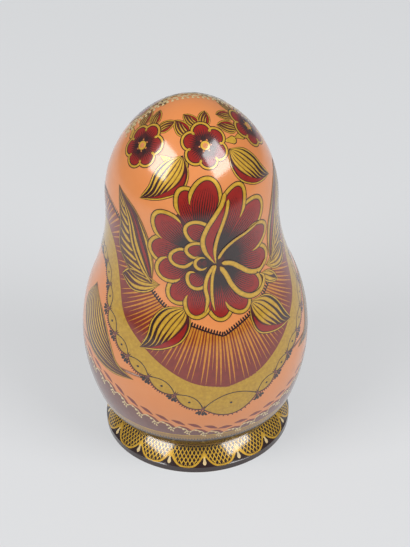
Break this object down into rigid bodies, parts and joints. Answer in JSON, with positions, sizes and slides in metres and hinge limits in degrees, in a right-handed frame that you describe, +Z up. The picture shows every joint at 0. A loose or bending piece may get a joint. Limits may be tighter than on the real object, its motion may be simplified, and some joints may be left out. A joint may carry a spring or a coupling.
{
  "type": "nesting doll set",
  "caption": "Turned wooden nesting doll on a flared plinth: hollow dolls that part at the belly on a friction collar, one inside another round a solid core.",
  "frame": {"origin": "centre of the flat base of the plinth", "axes": "+Z up along the axis of the lathe; the painted back that the picture shows looks along -Y"},
  "size_m": [0.13, 0.13, 0.215],
  "materials": {
    "lacquered_limewood": "painted in orange, red, gold and black, then glossy clear lacquer",
    "inner_limewood": "painted in orange, red and gold, then glossy clear lacquer, bare wood inside",
    "core_limewood": "painted in orange, red and gold, then glossy clear lacquer"
  },
  "bodies": {
    "outer_bottom": {"outer_bottom": "lacquered_limewood"},
    "doll_2_bottom": {"doll_2_bottom": "inner_limewood"},
    "doll_3_bottom": {"doll_3_bottom": "inner_limewood"},
    "doll_4_bottom": {"doll_4_bottom": "inner_limewood"},
    "doll_5_bottom": {"doll_5_bottom": "inner_limewood"},
    "doll_6_bottom": {"doll_6_bottom": "inner_limewood"},
    "doll_7_bottom": {"doll_7_bottom": "inner_limewood"},
    "doll_8_bottom": {"doll_8_bottom": "inner_limewood"},
    "doll_9_bottom": {"doll_9_bottom": "inner_limewood"},
    "doll_10": {"doll_10": "core_limewood"},
    "doll_9_top": {"doll_9_top": "inner_limewood"},
    "doll_8_top": {"doll_8_top": "inner_limewood"},
    "doll_7_top": {"doll_7_top": "inner_limewood"},
    "doll_6_top": {"doll_6_top": "inner_limewood"},
    "doll_5_top": {"doll_5_top": "inner_limewood"},
    "doll_4_top": {"doll_4_top": "inner_limewood"},
    "doll_3_top": {"doll_3_top": "inner_limewood"},
    "doll_2_top": {"doll_2_top": "inner_limewood"},
    "outer_top": {"outer_top": "lacquered_limewood"}
  },
  "joints": [
    {"name": "lift_out_doll_2", "type": "slide", "parent": "outer_bottom", "child": "doll_2_bottom", "axis": [0, 0, 1], "range_m": [0, 0.065]},
    {"name": "lift_out_doll_3", "type": "slide", "parent": "doll_2_bottom", "child": "doll_3_bottom", "axis": [0, 0, 1], "range_m": [0, 0.053]},
    {"name": "lift_out_doll_4", "type": "slide", "parent": "doll_3_bottom", "child": "doll_4_bottom", "axis": [0, 0, 1], "range_m": [0, 0.043]},
    {"name": "lift_out_doll_5", "type": "slide", "parent": "doll_4_bottom", "child": "doll_5_bottom", "axis": [0, 0, 1], "range_m": [0, 0.036]},
    {"name": "lift_out_doll_6", "type": "slide", "parent": "doll_5_bottom", "child": "doll_6_bottom", "axis": [0, 0, 1], "range_m": [0, 0.029]},
    {"name": "lift_out_doll_7", "type": "slide", "parent": "doll_6_bottom", "child": "doll_7_bottom", "axis": [0, 0, 1], "range_m": [0, 0.024]},
    {"name": "lift_out_doll_8", "type": "slide", "parent": "doll_7_bottom", "child": "doll_8_bottom", "axis": [0, 0, 1], "range_m": [0, 0.02]},
    {"name": "lift_out_doll_9", "type": "slide", "parent": "doll_8_bottom", "child": "doll_9_bottom", "axis": [0, 0, 1], "range_m": [0, 0.017]},
    {"name": "lift_out_doll_10", "type": "slide", "parent": "doll_9_bottom", "child": "doll_10", "axis": [0, 0, 1], "range_m": [0, 0.014]},
    {"name": "pull_off_doll_9_top", "type": "slide", "parent": "doll_10", "child": "doll_9_top", "axis": [0, 0, 1], "range_m": [0, 0.024]},
    {"name": "pull_off_doll_8_top", "type": "slide", "parent": "doll_9_top", "child": "doll_8_top", "axis": [0, 0, 1], "range_m": [0, 0.031]},
    {"name": "pull_off_doll_7_top", "type": "slide", "parent": "doll_8_top", "child": "doll_7_top", "axis": [0, 0, 1], "range_m": [0, 0.038]},
    {"name": "pull_off_doll_6_top", "type": "slide", "parent": "doll_7_top", "child": "doll_6_top", "axis": [0, 0, 1], "range_m": [0, 0.046]},
    {"name": "pull_off_doll_5_top", "type": "slide", "parent": "doll_6_top", "child": "doll_5_top", "axis": [0, 0, 1], "range_m": [0, 0.056]},
    {"name": "pull_off_doll_4_top", "type": "slide", "parent": "doll_5_top", "child": "doll_4_top", "axis": [0, 0, 1], "range_m": [0, 0.068]},
    {"name": "pull_off_doll_3_top", "type": "slide", "parent": "doll_4_top", "child": "doll_3_top", "axis": [0, 0, 1], "range_m": [0, 0.083]},
    {"name": "pull_off_doll_2_top", "type": "slide", "parent": "doll_3_top", "child": "doll_2_top", "axis": [0, 0, 1], "range_m": [0, 0.101]},
    {"name": "pull_off_outer_top", "type": "slide", "parent": "doll_2_top", "child": "outer_top", "axis": [0, 0, 1], "range_m": [0, 0.124]}
  ]
}
